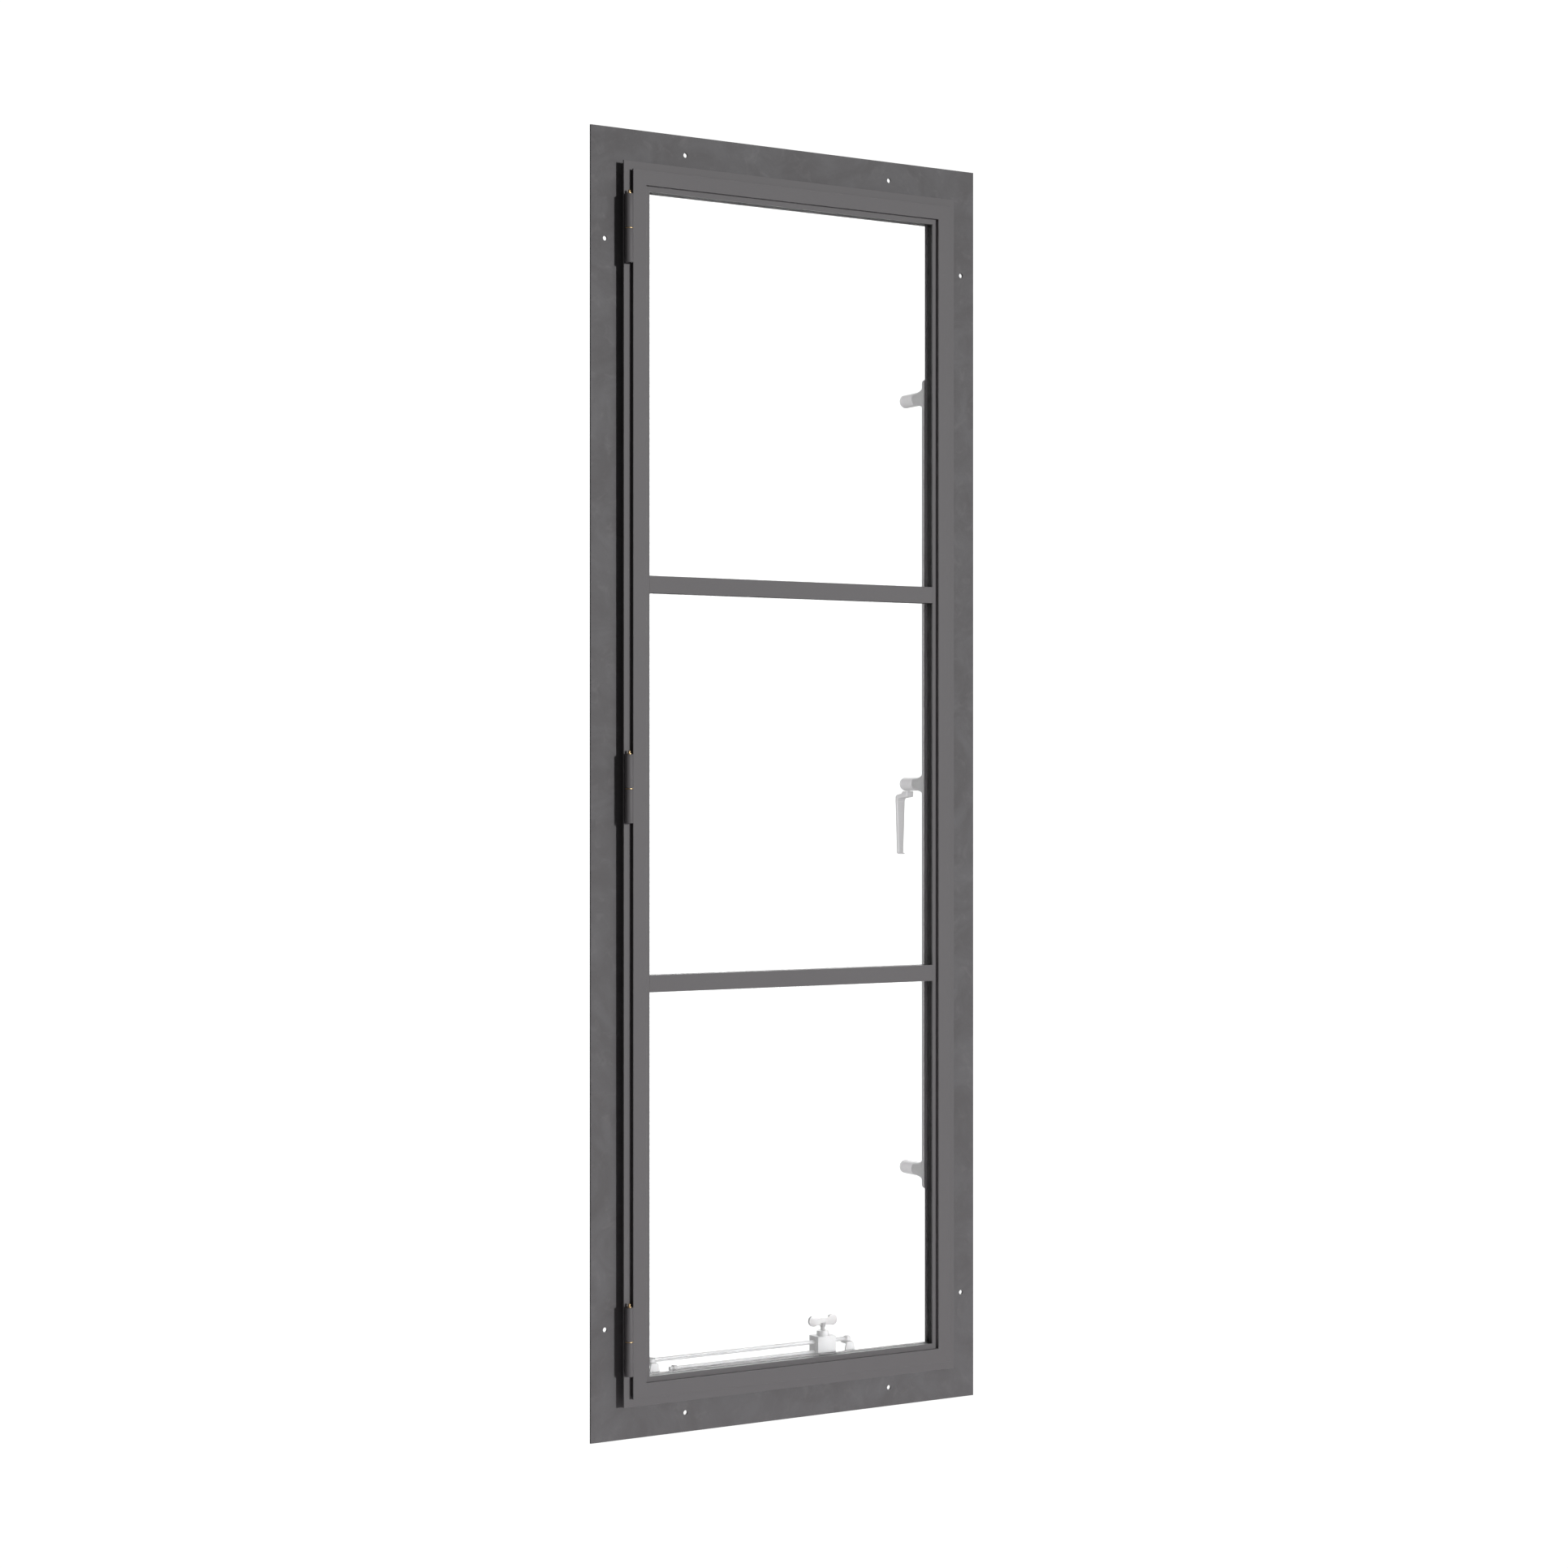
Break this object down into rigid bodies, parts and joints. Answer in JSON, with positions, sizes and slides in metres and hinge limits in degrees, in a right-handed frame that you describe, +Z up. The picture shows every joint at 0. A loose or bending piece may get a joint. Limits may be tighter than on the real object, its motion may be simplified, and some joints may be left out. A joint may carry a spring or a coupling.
{
  "type": "casement window",
  "caption": "Side-hung steel casement window that opens outwards, with barrel hinges, a lock strip with a lever, and a rod stay.",
  "frame": {"origin": "middle of the back face of the bottom fixing flange, where it lies on the wall", "axes": "+X to the right as seen from outside, -Y outwards, +Y into the room, +Z up"},
  "size_m": [0.68, 0.1159, 1.92],
  "materials": {
    "charcoal_paint": "satin",
    "flange_steel": "mottled matte",
    "clear_glass": "clear",
    "black_rubber": "matte",
    "brass": "satin",
    "zinc_steel": "satin",
    "dark_steel": "satin"
  },
  "bodies": {
    "frame": {"flange_head": "flange_steel", "flange_hinge_side": "flange_steel", "flange_lock_side": "flange_steel", "flange_sill": "flange_steel", "frame_head": "charcoal_paint", "frame_jamb_hinge": "charcoal_paint", "frame_jamb_lock": "charcoal_paint", "frame_sill": "charcoal_paint", "hinge_bottom_knuckle_frame": "charcoal_paint", "hinge_bottom_pin": "dark_steel", "hinge_bottom_washer": "brass", "hinge_middle_knuckle_frame": "charcoal_paint", "hinge_middle_pin": "dark_steel", "hinge_middle_washer": "brass", "hinge_top_knuckle_frame": "charcoal_paint", "hinge_top_pin": "dark_steel", "hinge_top_washer": "brass", "lock_keeper_lower": "dark_steel", "lock_keeper_middle": "dark_steel", "lock_keeper_upper": "dark_steel", "stay_bracket_frame": "zinc_steel", "stay_pin_frame": "dark_steel", "weatherstrip": "black_rubber"},
    "sash": {"glass_lower": "clear_glass", "glass_middle": "clear_glass", "glass_upper": "clear_glass", "glazing_bar_lower": "charcoal_paint", "glazing_bar_upper": "charcoal_paint", "glazing_bead_lower": "charcoal_paint", "glazing_bead_middle": "charcoal_paint", "glazing_bead_upper": "charcoal_paint", "glazing_gasket_lower": "black_rubber", "glazing_gasket_middle": "black_rubber", "glazing_gasket_upper": "black_rubber", "hinge_bottom_grease_nipple": "brass", "hinge_bottom_knuckle_sash": "charcoal_paint", "hinge_middle_grease_nipple": "brass", "hinge_middle_knuckle_sash": "charcoal_paint", "hinge_top_grease_nipple": "brass", "hinge_top_knuckle_sash": "charcoal_paint", "lock_strip": "zinc_steel", "sash_bottom_rail": "charcoal_paint", "sash_hinge_stile": "charcoal_paint", "sash_lock_stile": "charcoal_paint", "sash_top_rail": "charcoal_paint", "stay_bracket_sash": "zinc_steel"},
    "lock_middle": {"boss_hub_middle": "zinc_steel", "lock_spindle_middle": "dark_steel", "lock_lever": "zinc_steel"},
    "lock_upper": {"boss_hub_upper": "zinc_steel", "lock_spindle_upper": "dark_steel"},
    "lock_lower": {"boss_hub_lower": "zinc_steel", "lock_spindle_lower": "dark_steel"},
    "lock_rod": {"lock_connecting_rod": "dark_steel"},
    "stay_rod": {"stay_upper_rod": "zinc_steel", "stay_clamp_block": "zinc_steel"},
    "stay_slider": {"stay_lower_rod": "zinc_steel", "stay_stop_collar": "zinc_steel"},
    "stay_screw": {"stay_thumbscrew": "zinc_steel"}
  },
  "joints": [
    {"name": "sash_swing", "type": "hinge", "parent": "frame", "child": "sash", "pos_m": [-0.2874, -0.0239, 0.926], "axis": [0, 0, -1], "range_deg": [0, 90]},
    {"name": "handle_turn", "type": "hinge", "parent": "sash", "child": "lock_middle", "pos_m": [0.258, 0.0615, 0.926], "axis": [0, 1, 0], "range_deg": [0, 90]},
    {"name": "upper_lock_turn", "type": "hinge", "parent": "sash", "child": "lock_upper", "pos_m": [0.258, 0.0615, 1.5285], "axis": [0, 1, 0], "range_deg": [0, 90]},
    {"name": "lower_lock_turn", "type": "hinge", "parent": "sash", "child": "lock_lower", "pos_m": [0.258, 0.0615, 0.3235], "axis": [0, 1, 0], "range_deg": [0, 90]},
    {"name": "lock_rod_slide", "type": "slide", "parent": "sash", "child": "lock_rod", "axis": [0, 0, 1], "range_m": [0, 0.0043]},
    {"name": "stay_swing", "type": "hinge", "parent": "frame", "child": "stay_rod", "pos_m": [-0.2185, 0.03475, 0.07], "axis": [0, 0, -1], "range_deg": [0, 91.29]},
    {"name": "stay_slide", "type": "slide", "parent": "stay_rod", "child": "stay_slider", "axis": [1, 0, 0], "range_m": [0, 0.1278]},
    {"name": "thumbscrew_turn", "type": "hinge", "parent": "stay_rod", "child": "stay_screw", "pos_m": [0.0822, 0.03475, 0.0865], "axis": [0, 0, 1], "range_deg": [0, 180]}
  ],
  "couplings": [
    {"joint": "upper_lock_turn", "follows": "handle_turn", "ratio": 1},
    {"joint": "lower_lock_turn", "follows": "handle_turn", "ratio": 1},
    {"joint": "lock_rod_slide", "follows": "handle_turn", "m_per_rad": 0.0027009},
    {"joint": "stay_swing", "follows": "sash_swing", "ratio": 1.0138},
    {"joint": "stay_slide", "follows": "sash_swing", "m_per_rad": 0.081272}
  ]
}
